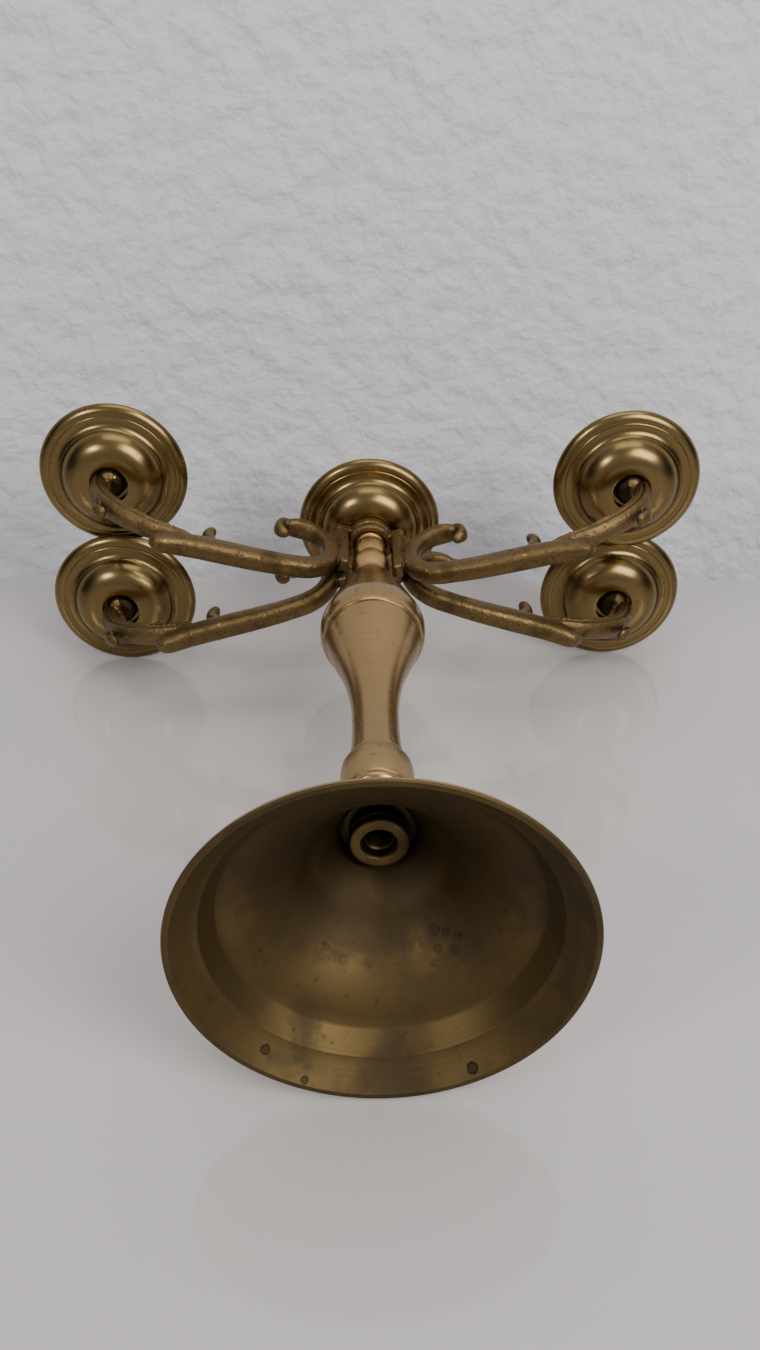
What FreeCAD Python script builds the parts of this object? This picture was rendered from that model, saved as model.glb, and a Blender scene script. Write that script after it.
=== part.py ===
import FreeCAD, Part
import os
import re

import Sketcher
from FreeCAD import Placement, Rotation, Vector

# Five-light table candelabra, millimetres, +Z up the stem.
# The origin is the centre of the ring the foot stands on.

doc = FreeCAD.newDocument("candelabra")
sheet = doc.addObject("Spreadsheet::Sheet", "Dims")

DIMENSIONS = [
    # the foot: a thin bell with two steps above its rim
    ("foot_radius", 57.5),
    ("foot_wall", 1.8),
    ("step_wall", 1.3),
    ("step_low_radius", 51.4),
    ("step_low_height", 6.2),
    ("step_high_radius", 45.4),
    ("step_high_height", 14.2),
    ("throat_radius", 11.6),
    ("throat_height", 52.0),
    ("foot_height", 66.0),
    ("foot_neck_radius", 9.6),
    # what clamps the stand together
    ("tube_radius", 5.0),
    ("tube_bore", 3.9),
    ("tube_clearance", 0.1),
    ("nut_radius", 9.0),
    ("nut_thick", 6.9),
    ("washer_thick", 1.4),
    ("tube_inset", 3.0),
    ("tube_short", 4.0),
    # the turned stem
    ("knop_radius", 11.6),
    ("knop_height", 18.0),
    ("waist_radius", 7.9),
    ("shaft_height", 73.0),
    ("shaft_top_radius", 17.9),
    ("bulb_lip_radius", 18.5),
    ("bulb_radius", 19.7),
    ("bulb_height", 46.0),
    ("bulb_top_radius", 8.4),
    ("bead_low_radius", 7.6),
    ("bead_mid_radius", 6.9),
    ("bead_top_radius", 6.6),
    ("bead_pitch", 12.0),
    ("cove_height", 7.0),
    ("spindle_height", 34.95),
    ("spigot_radius", 3.8),
    ("spigot_length", 18.0),
    ("post_radius", 4.0),
    ("running_gap", 0.05),
    # the ring of each double arm
    ("ring_radius", 9.6),
    ("ring_height", 4.4),
    ("ring_recess", 3.0),
    ("recess_radius", 7.0),
    ("shim_thick", 0.3),
    # the arm, outwards from the ring
    ("strap_inner", 9.8),
    ("strap_thick", 3.7),
    ("strap_gap", 0.56),
    ("strap_length", 28.6),
    ("scroll_reach", 30.5),
    ("scroll_half_width", 13.8),
    ("scroll_half_height", 17.0),
    ("scroll_drop", 20.8),
    ("scroll_thick", 3.5),
    ("scroll_gap", 0.897),
    ("ear_inset", 1.9),
    ("ear_lap", 0.4),
    ("limb_thick", 4.7),
    ("limb_width", 4.2),
    ("limb_drop", 40.4),
    ("pan_reach", 110.3),
    ("leaf_reach", 27.3),
    ("leaf_thick", 4.2),
    ("leaf_width", 5.1),
    ("leaf_tip_radius", 2.2),
    ("leaf_tip_length", 4.2),
    ("hook_bud_radius", 2.7),
    ("hook_bud_length", 5.6),
    ("hook_bud_drop", 3.4),
    ("thorn_inset", 43.5),
    ("thorn_rise", 10.4),
    ("thorn_radius", 2.7),
    ("thorn_length", 7.0),
    # drip pan, with the height of its rim over the ring of its arm
    ("rim_over_ring", 5.7),
    ("pan_radius", 30.6),
    ("pan_depth", 12.4),
    ("pan_wall", 1.1),
    ("pan_lap", 2.52),
    ("roll_width", 3.9),
    ("brim_width", 9.2),
    ("collar_radius", 8.9),
    ("collar_bore", 7.8),
    ("pan_floor_depth", 8.4),
    ("tip_radius", 6.4),
    ("tip_wall", 1.2),
    # candle cup and the stud that holds it
    ("cup_height", 32.0),
    ("cup_bore", 11.0),
    ("cup_bore_depth", 22.5),
    ("cup_wall", 1.4),
    ("cup_lip_radius", 13.5),
    ("cup_foot_radius", 8.6),
    ("stud_radius", 3.0),
    ("thread_gap", 0.05),
    ("stud_above_rim", 1.5),
    ("stud_in_tip", 4.5),
    ("stud_clearance", 0.2),
    # edges left by the tool
    ("edge", 0.5),
]
ALIASES = {alias for alias, _ in DIMENSIONS}

for row, (alias, size) in enumerate(DIMENSIONS, 1):
    sheet.set(f"A{row}", alias)
    sheet.set(f"B{row}", str(size))
    sheet.setAlias(f"B{row}", alias)
doc.recompute()


def bound(formula):
    """The formula with the sheet named in front of each of its dimensions."""
    def name(word):
        return "Dims." + word.group() if word.group() in ALIASES else word.group()
    return re.sub(r"[a-z_]+", name, formula)


def value(formula):
    """What a formula of the sheet's dimensions comes to."""
    result = sheet.evalExpression(bound(formula))
    return float(getattr(result, "Value", result))


# Heights of the stack, each on top of the one before.
KNOP_SEAT = "foot_height"
SHAFT_SEAT = f"({KNOP_SEAT} + knop_height)"
BULB_SEAT = f"({SHAFT_SEAT} + shaft_height)"
SPINDLE_SEAT = f"({BULB_SEAT} + bulb_height)"
LOWER_WEB = f"({SPINDLE_SEAT} + spindle_height + running_gap)"
RING_PITCH = "(ring_height + shim_thick + 2 * running_gap)"
LOWER_RING = f"({LOWER_WEB} - ring_recess)"
UPPER_RING = f"({LOWER_RING} + {RING_PITCH})"
TOP_SHIM = f"({UPPER_RING} + ring_height + running_gap)"
CENTRE_RIM = f"({TOP_SHIM} + shim_thick + running_gap + pan_depth)"
POST_TOP = f"({CENTRE_RIM} - pan_floor_depth)"

# Half the angle between the two double arms: each pan laps, by pan_lap, the
# line midway to its neighbour. Straps and scrolls are as wide as it leaves.
HALF_CROSS = "asin((pan_radius - pan_lap) / pan_reach)"
STRAP_WIDTH = f"(2 * strap_inner * tan({HALF_CROSS}) - strap_gap)"
EAR_WIDTH = f"({STRAP_WIDTH} + ear_lap)"
SCROLL_INNER = "(scroll_reach - scroll_half_width)"
SCROLL_WIDTH = f"({SCROLL_INNER} * tan({HALF_CROSS}) - scroll_gap)"

# Places along the arm, and the rings of a pan.
EAR_RADIUS = f"({SCROLL_INNER} - ear_inset)"
KNUCKLE_REACH = "(pan_reach - leaf_reach)"
THORN_REACH = "(pan_reach - thorn_inset)"
ROLL_INNER = "(pan_radius - roll_width)"
DOME_RADIUS = "(pan_radius - brim_width)"


def new_body(name, height="0"):
    """A PartDesign body whose foot is at a height of the stack."""
    body = doc.addObject("PartDesign::Body", name)
    body.Label = name
    body.Placement = Placement(Vector(0, 0, value(height)), Rotation())
    body.setExpression("Placement.Base.z", bound(height))
    return body


def origin_plane(body, role):
    return next(f for f in body.Origin.OriginFeatures if f.Role == role)


def new_sketch(body, role="XZ_Plane"):
    sketch = body.newObject("Sketcher::SketchObject", body.Name + "_outline")
    sketch.AttachmentSupport = [(origin_plane(body, role), "")]
    sketch.MapMode = "FlatFace"
    return sketch


def pin_point(sketch, edge, end, across, up):
    """Tie one end of an edge to two formulas of the sheet."""
    for kind, formula in (("DistanceX", across), ("DistanceY", up)):
        held = sketch.addConstraint(Sketcher.Constraint(kind, edge, end, value(formula)))
        sketch.setExpression(f"Constraints[{held}]", bound(formula))


def draw_outline(sketch, steps):
    """A closed outline of (across, up) corners.

    A step of four formulas is an arc: a point it passes through, then its end.
    """
    here = steps[-1][-2:]
    first_edge = None
    last_edge = None
    for step in steps:
        start = Vector(value(here[0]), value(here[1]), 0)
        end = Vector(value(step[-2]), value(step[-1]), 0)
        if len(step) == 4:
            middle = Vector(value(step[0]), value(step[1]), 0)
            arc = Part.Arc(start, middle, end)
            edge = sketch.addGeometry(arc, False)
            far_end = 2 if sketch.getPoint(edge, 2).distanceToPoint(end) < 1e-6 else 1
            through = sketch.addGeometry(Part.Point(middle), True)
            pin_point(sketch, through, 1, step[0], step[1])
            sketch.addConstraint(Sketcher.Constraint("PointOnObject", through, 1, edge))
        else:
            edge = sketch.addGeometry(Part.LineSegment(start, end), False)
            far_end = 2
        near_end = 3 - far_end
        if last_edge is None:
            first_edge = (edge, near_end)
        else:
            joint = Sketcher.Constraint("Coincident", *last_edge, edge, near_end)
            sketch.addConstraint(joint)
        pin_point(sketch, edge, far_end, step[-2], step[-1])
        last_edge = (edge, far_end)
        here = step[-2:]
    sketch.addConstraint(Sketcher.Constraint("Coincident", *last_edge, *first_edge))


def turned(name, height, steps):
    """A lathe piece: its half section, turned about the stem's axis."""
    body = new_body(name, height)
    sketch = new_sketch(body)
    draw_outline(sketch, steps)
    turn = body.newObject("PartDesign::Revolution", name + "_turning")
    turn.Profile = sketch
    turn.ReferenceAxis = (sketch, ["V_Axis"])
    turn.Angle = 360
    doc.recompute()
    return body


def foot():
    """Spun bell: resting rim, two steps, bell, throat and a turned neck."""
    wall = "foot_wall"
    bore = "tube_radius + tube_clearance"
    return turned("foot", "0", [
        ("foot_radius - foot_wall", "0"),
        ("foot_radius - 0.3", "0"),
        ("foot_radius + 0.1", f"{wall} * 0.5", "foot_radius - 0.4", wall),
        ("step_low_radius + step_wall * 0.6", "step_low_height + step_wall * 0.8"),
        ("step_low_radius - 1.6", "step_low_height + step_wall + 1.2"),
        ("step_high_radius + step_wall", "step_high_height + 0.1"),
        ("step_high_radius - 0.9", "step_high_height + step_wall + 1.0"),
        ("step_high_radius * 0.72", "step_high_height + 11.2",
         "throat_radius + 10.2", "throat_height - 11.8"),
        ("throat_radius + 3.4", "throat_height - 3.4",
         "throat_radius + 0.6", "throat_height + 5.6"),
        ("foot_neck_radius - 0.6", "foot_height - 4.6", "foot_neck_radius", "foot_height - 2.4"),
        ("foot_neck_radius + 0.8", "foot_height - 1.2", "foot_neck_radius + 0.6", "foot_height"),
        (bore, "foot_height"),
        (bore, "throat_height"),
        ("throat_radius", "throat_height"),
        ("throat_radius", "throat_height - 1.6"),
        ("throat_radius + 2.6", "throat_height - 6.4",
         "throat_radius + 8.4", "throat_height - 13.4"),
        ("step_high_radius * 0.70", "step_high_height + 9.8", "step_high_radius - 0.8",
         "step_high_height + 0.8"),
        ("step_high_radius", "step_high_height"),
        ("step_low_radius - 2.5", "step_low_height + 1.6"),
        ("step_low_radius", "step_low_height"),
    ])


def foot_washer():
    """Flat washer under the shoulder inside the foot."""
    bore = "tube_radius + tube_clearance"
    return turned("foot_washer", "throat_height - washer_thick", [
        (bore, "0"),
        ("throat_radius - 0.7", "0"),
        ("throat_radius - 0.7", "washer_thick"),
        (bore, "washer_thick"),
    ])


def foot_nut():
    """Round lock nut on the tube's lower end, with a countersunk mouth."""
    thread = "tube_radius + thread_gap"
    return turned("foot_nut", "throat_height - washer_thick - nut_thick", [
        ("tube_radius + 0.6", "0"),
        ("nut_radius - 1.0", "0"),
        ("nut_radius - 0.3", "0.3", "nut_radius", "1.0"),
        ("nut_radius", "nut_thick"),
        (thread, "nut_thick"),
        (thread, "0.8"),
    ])


def tie_tube():
    """Threaded tube that pulls foot, knop, shaft and bulb together."""
    foot_end = "throat_height - washer_thick - nut_thick + tube_inset"
    length = f"{SPINDLE_SEAT} - tube_short - ({foot_end})"
    return turned("tie_tube", foot_end, [
        ("tube_bore + edge", "0"),
        ("tube_radius - edge", "0"),
        ("tube_radius", "edge"),
        ("tube_radius", length),
        ("tube_bore", length),
        ("tube_bore", "edge"),
    ])


def knop():
    """Turned collar on the foot, with a sharp upper edge."""
    bore = "tube_radius + tube_clearance"
    return turned("knop", KNOP_SEAT, [
        (bore, "0"),
        ("knop_radius - 1.2", "0"),
        ("knop_radius", "knop_height * 0.42", "knop_radius - 0.3", "knop_height * 0.72"),
        ("knop_radius - 1.9", "knop_height * 0.80", "waist_radius + 1.0", "knop_height"),
        (bore, "knop_height"),
    ])


def shaft():
    """Slender vase: from its foot in to the waist, then out to the bulb."""
    bore = "tube_radius + tube_clearance"
    return turned("shaft", SHAFT_SEAT, [
        (bore, "0"),
        ("waist_radius + 0.9", "0"),
        ("waist_radius + 0.25", "shaft_height * 0.11", "waist_radius", "shaft_height * 0.26"),
        ("waist_radius + 1.0", "shaft_height * 0.51",
         "(waist_radius + shaft_top_radius) / 2", "shaft_height * 0.77"),
        ("shaft_top_radius", "shaft_height"),
        (bore, "shaft_height"),
    ])


def bulb():
    """Widest part of the stem: a lip round the shaft's top, then a cone."""
    bore = "tube_radius + tube_clearance"
    lip = "bulb_height * 0.29"
    return turned("bulb", BULB_SEAT, [
        (bore, "0"),
        ("bulb_lip_radius - 0.4", "0"),
        ("bulb_lip_radius", "0.5"),
        ("bulb_radius", "bulb_height * 0.16", "bulb_radius - 1.1", lip),
        ("(bulb_radius + bulb_top_radius) / 2", "bulb_height * 0.63",
         "bulb_top_radius", "bulb_height"),
        (bore, "bulb_height"),
    ])


def bead_spindle():
    """Three beads, the bearing post for the arms and the centre cup's stud."""
    low = "cove_height + bead_pitch * 0.5"
    mid = f"{low} + bead_pitch"
    post = f"{POST_TOP} - {SPINDLE_SEAT}"
    stud = f"{CENTRE_RIM} + stud_above_rim - {SPINDLE_SEAT}"
    return turned("bead_spindle", SPINDLE_SEAT, [
        ("0", "-spigot_length"),
        ("spigot_radius - edge", "-spigot_length"),
        ("spigot_radius", "-spigot_length + edge"),
        ("spigot_radius", "0"),
        ("bulb_top_radius - 0.2", "0"),
        ("bulb_top_radius - 0.2", "1.2"),
        ("bead_low_radius - 1.3", "cove_height * 0.48",
         "bead_low_radius - 1.2", "cove_height"),
        ("bead_low_radius", low, "bead_low_radius - 1.4", "cove_height + bead_pitch"),
        ("bead_mid_radius", mid, "bead_mid_radius - 1.5",
         "cove_height + bead_pitch * 2"),
        ("bead_top_radius", "spindle_height - 1.8", "bead_top_radius - 0.4", "spindle_height"),
        ("post_radius", "spindle_height"),
        ("post_radius", post),
        ("stud_radius", post),
        ("stud_radius", f"{stud} - edge"),
        ("stud_radius - edge", stud),
        ("0", stud),
    ])


def shim(name, height):
    """Thin washer that a double arm turns on."""
    bore = "post_radius + tube_clearance"
    return turned(name, height, [
        (bore, "0"),
        ("ring_radius - 0.8", "0"),
        ("ring_radius - 0.8", "shim_thick"),
        (bore, "shim_thick"),
    ])


def drip_pan(name, rim):
    """Spun pan: collar round the arm's tip, dome, cove and rolled brim."""
    seat = "-pan_floor_depth + pan_wall"
    hole = "stud_radius + stud_clearance"
    return turned(name, rim, [
        (hole, "-pan_floor_depth"),
        ("collar_bore", "-pan_floor_depth"),
        ("collar_bore", "-pan_depth"),
        ("collar_radius", "-pan_depth"),
        (f"{DOME_RADIUS} - 4.2", "-pan_depth + 2.8", f"{DOME_RADIUS}", "-5.0"),
        (f"{DOME_RADIUS} + 0.8", "-4.2", f"{DOME_RADIUS} + 2.4", "-4.0"),
        (f"{ROLL_INNER}", "-3.0"),
        (f"{ROLL_INNER} + 0.3", "-2.7"),
        ("pan_radius - 1.1", "-1.9", "pan_radius", "-0.5"),
        ("pan_radius - 0.2", "0.0", "pan_radius - 0.9", "0.2"),
        ("pan_radius - 1.6", "-0.2"),
        (f"{ROLL_INNER} - 0.1", "-3.0 + pan_wall"),
        (f"{DOME_RADIUS} + 2.0", "-4.1 + pan_wall"),
        (f"{DOME_RADIUS} + 0.4", "-4.5 + pan_wall"),
        (f"{DOME_RADIUS} - 5.0", "-pan_depth + 2.8 + pan_wall",
         "collar_radius + 0.8", "-pan_depth + pan_wall"),
        ("collar_radius + 0.3", "-pan_depth + pan_wall"),
        ("collar_radius + 0.3", seat),
        (hole, seat),
    ])


def candle_cup(name, rim):
    """Turned cup: foot ring, cove, bowl, flared lip and a blind candle bore."""
    side = "(cup_bore + cup_wall)"
    top = "cup_height"
    floor = "(cup_height - cup_bore_depth)"
    thread = "stud_radius + thread_gap"
    seat = f"{rim} - pan_floor_depth + pan_wall"
    return turned(name, seat, [
        (thread, "0"),
        ("cup_foot_radius", "0"),
        ("cup_foot_radius", "1.4"),
        ("cup_foot_radius - 2.0", "3.0", "cup_foot_radius - 1.4", f"{floor} - 4.4"),
        (f"{side} - 1.1", f"{floor} - 1.4", side, f"{floor} + 3.4"),
        (f"{side} - 0.35", f"{top} - 8", f"{side} - 0.2", f"{top} - 4.6"),
        ("cup_lip_radius", f"{top} - 2.2"),
        ("cup_lip_radius + 0.2", f"{top} - 1.1", "cup_lip_radius - 0.4", top),
        ("cup_bore + edge", top),
        ("cup_bore", f"{top} - edge"),
        ("cup_bore", floor),
        (thread, floor),
    ])


def cup_stud(name, rim):
    """Threaded stud from the arm's tip up into the candle cup."""
    start = f"{rim} - pan_floor_depth - stud_in_tip"
    length = "stud_in_tip + pan_floor_depth + stud_above_rim"
    return turned(name, start, [
        ("0", "0"),
        ("stud_radius - edge", "0"),
        ("stud_radius", "edge"),
        ("stud_radius", f"{length} - edge"),
        ("stud_radius - edge", length),
        ("0", length),
    ])


def place_at_tip(body, angle):
    """Move a piece out along its arm, to the middle of its pan."""
    body.setExpression("Placement.Base.x", bound(f"pan_reach * cos({angle})"))
    body.setExpression("Placement.Base.y", bound(f"pan_reach * sin({angle})"))


# Stations along an arm: across, up, lean of the section in degrees,
# half the thickness in the arm's plane and half the width across it.
# The scroll's stations lie on an ellipse about its centre.
SCROLL_ANGLES = (72, 90, 115, 147, 180, 210, 240, 270)
SCROLL_TAPER = (0.70, 0.80, 0.90, 0.98, 1.02, 1.06, 1.12, 1.20)
SCROLL_SPREAD = (1.05, 1.16, 1.12, 1.04, 1.02, 1.06, 1.12, 1.20)


def scroll_stations():
    """From the hook's tip, back round the scroll and down to the limb."""
    for angle, taper, spread in zip(SCROLL_ANGLES, SCROLL_TAPER, SCROLL_SPREAD):
        across = f"scroll_reach + scroll_half_width * cos({angle} deg)"
        up = f"-scroll_drop + scroll_half_height * sin({angle} deg)"
        yield across, up, angle, f"scroll_thick * {taper}", f"{SCROLL_WIDTH} * {spread}"


def limb_stations():
    """Along the limb to the knuckle, which droops under the leaf."""
    run = f"({KNUCKLE_REACH} - scroll_reach)"
    for share, drop, lean, taper in (
        (0.10, 0.965, 275, 0.93),
        (0.35, 0.995, 272, 1.00),
        (0.65, 1.005, 270, 1.02),
        (0.86, 1.045, 262, 0.98),
        (1.02, 1.110, 242, 0.84),
    ):
        across = f"scroll_reach + {run} * {share}"
        thick = f"limb_thick * {taper}"
        yield across, f"-limb_drop * {drop}", lean, thick, f"limb_width * {taper}"


def leaf_stations():
    """The leaf: out of the limb, over the knuckle and up under the pan."""
    run = "leaf_reach"
    for share, drop, lean, thick, wide in (
        (-0.42, 0.930, 273, 0.62, 0.63),
        (0.04, 0.945, 278, 0.88, 0.84),
        (0.37, 0.861, 292, 1.00, 0.96),
        (0.70, 0.738, 303, 1.05, 1.02),
        (0.97, 0.569, 320, 1.02, 1.05),
        (1.135, 0.384, 336, 0.94, 1.05),
        (1.145, 0.235, 352, 0.80, 1.00),
        (1.135, 0.105, 2, 0.70, 0.94),
    ):
        across = f"{KNUCKLE_REACH} + {run} * {share}"
        yield (across, f"-limb_drop * {drop}", lean,
               f"leaf_thick * {thick}", f"leaf_width * {wide}")


def section(name, station):
    """One upright ellipse across the arm, square to its centreline."""
    across, up, lean, thick, wide = station
    ellipse = doc.addObject("Part::Ellipse", name)
    widest = value(wide) > value(thick)
    major, minor = (wide, thick) if widest else (thick, wide)
    ellipse.MajorRadius = value(major)
    ellipse.MinorRadius = value(minor)
    ellipse.setExpression("MajorRadius", bound(major))
    ellipse.setExpression("MinorRadius", bound(minor))
    turn = Rotation(Vector(0, 1, 0), -lean)
    if widest:
        turn = turn * Rotation(Vector(0, 0, 1), 90)
    ellipse.Placement = Placement(Vector(value(across), 0, value(up)), turn)
    ellipse.setExpression("Placement.Base.x", bound(across))
    ellipse.setExpression("Placement.Base.z", bound(up))
    return ellipse


def lofted(name, stations):
    """One smooth solid through a run of stations."""
    loft = doc.addObject("Part::Loft", name)
    loft.Sections = [section(f"{name}_{n}", s) for n, s in enumerate(stations)]
    loft.Solid = True
    return loft


def bud(name, across, up, lean, radius, length):
    """A folded leaf bud: an egg that leans out of the arm."""
    egg = doc.addObject("Part::Ellipsoid", name)
    egg.setExpression("Radius1", bound(length))
    egg.setExpression("Radius2", bound(radius))
    egg.setExpression("Radius3", bound(radius))
    egg.Placement = Placement(
        Vector(value(across), 0, value(up)), Rotation(Vector(0, 1, 0), lean))
    egg.setExpression("Placement.Base.x", bound(across))
    egg.setExpression("Placement.Base.z", bound(up))
    return egg


def block(name, low, high, width, bottom, top):
    """A bar across the arm's plane, from radius low to radius high."""
    box = doc.addObject("Part::Box", name)
    box.setExpression("Length", bound(f"({high}) - ({low})"))
    box.setExpression("Width", bound(width))
    box.setExpression("Height", bound(f"({top}) - ({bottom})"))
    box.setExpression("Placement.Base.x", bound(low))
    box.setExpression("Placement.Base.y", bound(f"-({width}) / 2"))
    box.setExpression("Placement.Base.z", bound(bottom))
    return box


def tip_boss(name):
    """Round seat at the arm's tip, which carries the pan."""
    boss = doc.addObject("Part::Cylinder", name)
    top = "rim_over_ring - pan_floor_depth"
    boss.setExpression("Radius", bound("tip_radius"))
    boss.setExpression("Height", bound("stud_in_tip + tip_wall"))
    boss.setExpression("Placement.Base.x", bound("pan_reach"))
    boss.setExpression("Placement.Base.z", bound(f"{top} - stud_in_tip - tip_wall"))
    return boss


def half_arm(name):
    """Every cast part of one arm, fused, along +X of its own casting."""
    scroll_end = f"scroll_reach + scroll_half_width * cos({SCROLL_ANGLES[0]} deg)"
    scroll_top = f"-scroll_drop + scroll_half_height * sin({SCROLL_ANGLES[0]} deg)"
    scroll = list(scroll_stations())
    pieces = [
        block(f"{name}_ear", "recess_radius + 0.6", EAR_RADIUS, EAR_WIDTH,
              "0", "ring_height"),
        block(f"{name}_web", "strap_inner + 1", EAR_RADIUS, STRAP_WIDTH,
              "-scroll_drop * 0.8", "ring_height / 2"),
        block(f"{name}_strap", "strap_inner", "strap_inner + strap_thick", STRAP_WIDTH,
              "-strap_length", "ring_height - 1"),
        lofted(f"{name}_scroll", scroll + list(limb_stations())),
        lofted(f"{name}_leaf", leaf_stations()),
        tip_boss(f"{name}_tip"),
        bud(f"{name}_hook_bud", f"{scroll_end} + 1.0", f"{scroll_top} - hook_bud_drop", 78,
            "hook_bud_radius", "hook_bud_length"),
        bud(f"{name}_thorn", THORN_REACH, "-limb_drop + thorn_rise", -8,
            "thorn_radius", "thorn_length"),
        bud(f"{name}_leaf_tip", "pan_reach + 1.4", "-limb_drop * 0.69", 40,
            "leaf_tip_radius", "leaf_tip_length"),
    ]
    fused = doc.addObject("Part::MultiFuse", name)
    fused.Shapes = pieces
    return fused


def arm_ring(name):
    """The casting's ring: a recess below, a web and the bearing bore."""
    bore = "post_radius + running_gap"
    ring = turned(name, "0", [
        ("recess_radius", "0"),
        ("ring_radius - edge", "0"),
        ("ring_radius", "ring_height / 2", "ring_radius - edge", "ring_height"),
        (bore, "ring_height"),
        (bore, "ring_recess"),
        ("recess_radius", "ring_recess"),
    ])
    return ring


def drill(name, radius, length, across, up):
    hole = doc.addObject("Part::Cylinder", name)
    hole.setExpression("Radius", bound(radius))
    hole.setExpression("Height", bound(length))
    hole.setExpression("Placement.Base.x", bound(across))
    hole.setExpression("Placement.Base.z", bound(up))
    return hole


def double_arm(name, height, angle):
    """One casting: a ring, two opposite arms and a tapped hole in each tip."""
    arms = []
    holes = []
    for side, turn in (("near", 0), ("far", 180)):
        arm = half_arm(f"{name}_{side}")
        arm.Placement = Placement(Vector(), Rotation(Vector(0, 0, 1), turn))
        arms.append(arm)
        sign = "" if turn == 0 else "-"
        holes.append(drill(
            f"{name}_{side}_tapping", "stud_radius + thread_gap", "stud_in_tip + 1",
            f"{sign}pan_reach", "rim_over_ring - pan_floor_depth - stud_in_tip"))
    casting = doc.addObject("Part::MultiFuse", name + "_casting")
    casting.Shapes = [arm_ring(name + "_ring"), *arms]
    tapping = doc.addObject("Part::MultiFuse", name + "_tappings")
    tapping.Shapes = holes
    arm = doc.addObject("Part::Cut", name)
    arm.Label = name
    arm.Base = casting
    arm.Tool = tapping
    arm.Placement = Placement(Vector(0, 0, value(height)), Rotation(Vector(0, 0, 1), 0))
    arm.setExpression("Placement.Base.z", bound(height))
    arm.setExpression("Placement.Rotation.Angle", bound(angle))
    return arm


def light(place, rim, angle=None):
    """A drip pan with its candle cup, on the post or on an arm's tip."""
    pieces = [drip_pan("drip_pan_" + place, rim), candle_cup("candle_cup_" + place, rim)]
    if angle is not None:
        pieces.append(cup_stud("cup_stud_" + place, rim))
        for piece in pieces:
            place_at_tip(piece, angle)
    return pieces


LOWER_ANGLE = f"-{HALF_CROSS}"
UPPER_ANGLE = HALF_CROSS
LOWER_RIM = f"({LOWER_RING} + rim_over_ring)"
UPPER_RIM = f"({UPPER_RING} + rim_over_ring)"

nodes = [
    foot(), foot_washer(), foot_nut(), tie_tube(), knop(), shaft(), bulb(), bead_spindle(),
    shim("lower_shim", f"{LOWER_RING} + ring_height + running_gap"),
    shim("upper_shim", TOP_SHIM),
    double_arm("lower_double_arm", LOWER_RING, LOWER_ANGLE),
    double_arm("upper_double_arm", UPPER_RING, UPPER_ANGLE),
    *light("centre", CENTRE_RIM),
    *light("front_right", LOWER_RIM, LOWER_ANGLE),
    *light("back_left", LOWER_RIM, f"180 deg - {HALF_CROSS}"),
    *light("back_right", UPPER_RIM, UPPER_ANGLE),
    *light("front_left", UPPER_RIM, f"180 deg + {HALF_CROSS}"),
]

doc.recompute()
for made in doc.Objects:
    if "Invalid" in made.State or "Error" in made.State:
        raise RuntimeError(f"{made.Label} failed to build: {made.State}")
for node in nodes:
    if node.Shape.isNull() or not node.Shape.isValid():
        raise RuntimeError(f"{node.Label} has no valid solid")

os.makedirs("parts", exist_ok=True)
for node in nodes:
    node.Shape.exportStep(f"parts/{node.Label}.step")
    print(node.Label, len(node.Shape.Solids), round(node.Shape.Volume))
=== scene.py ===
import math

import bpy
from mathutils import Matrix, Vector


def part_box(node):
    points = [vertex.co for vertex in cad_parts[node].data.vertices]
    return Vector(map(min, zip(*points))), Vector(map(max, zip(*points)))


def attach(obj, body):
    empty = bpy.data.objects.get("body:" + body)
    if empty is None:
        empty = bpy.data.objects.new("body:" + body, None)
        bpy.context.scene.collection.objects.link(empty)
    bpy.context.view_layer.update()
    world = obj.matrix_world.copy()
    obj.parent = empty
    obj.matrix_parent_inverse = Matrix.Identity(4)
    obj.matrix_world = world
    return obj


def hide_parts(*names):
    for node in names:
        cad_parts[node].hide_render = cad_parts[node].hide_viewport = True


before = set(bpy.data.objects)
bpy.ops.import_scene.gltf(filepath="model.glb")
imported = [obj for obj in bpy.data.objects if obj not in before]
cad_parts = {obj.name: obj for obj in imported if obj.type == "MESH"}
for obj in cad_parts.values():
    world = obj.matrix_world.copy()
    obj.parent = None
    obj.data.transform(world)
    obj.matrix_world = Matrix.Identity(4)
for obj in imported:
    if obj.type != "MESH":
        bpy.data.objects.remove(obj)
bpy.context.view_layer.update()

# ---------------------------------------------------------------- the foot
# A bell spun from thin brass sheet, with two steps above its resting rim and
# a turned neck. Its inside was never polished: it is matt and brown, with
# water spots. The outside has the same satin finish as the stem.

MM = 0.001


def millimetres(node):
    """Lowest and highest corner of a CAD node, in millimetres."""
    low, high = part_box(node)
    return low / MM, high / MM


def arc(start, via, end, steps=12):
    """Points on the circular arc from start (left out) through via to end."""
    (ax, ay), (bx, by), (cx, cy) = start, via, end
    twice_area = 2 * (ax * (by - cy) + bx * (cy - ay) + cx * (ay - by))
    a2, b2, c2 = ax * ax + ay * ay, bx * bx + by * by, cx * cx + cy * cy
    middle_x = (a2 * (by - cy) + b2 * (cy - ay) + c2 * (ay - by)) / twice_area
    middle_y = (a2 * (cx - bx) + b2 * (ax - cx) + c2 * (bx - ax)) / twice_area
    radius = math.hypot(ax - middle_x, ay - middle_y)
    first = math.atan2(ay - middle_y, ax - middle_x)
    over = (math.atan2(by - middle_y, bx - middle_x) - first) % math.tau
    sweep = (math.atan2(cy - middle_y, cx - middle_x) - first) % math.tau
    if over > sweep:
        sweep -= math.tau
    for step in range(1, steps + 1):
        angle = first + sweep * step / steps
        yield middle_x + radius * math.cos(angle), middle_y + radius * math.sin(angle)


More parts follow.
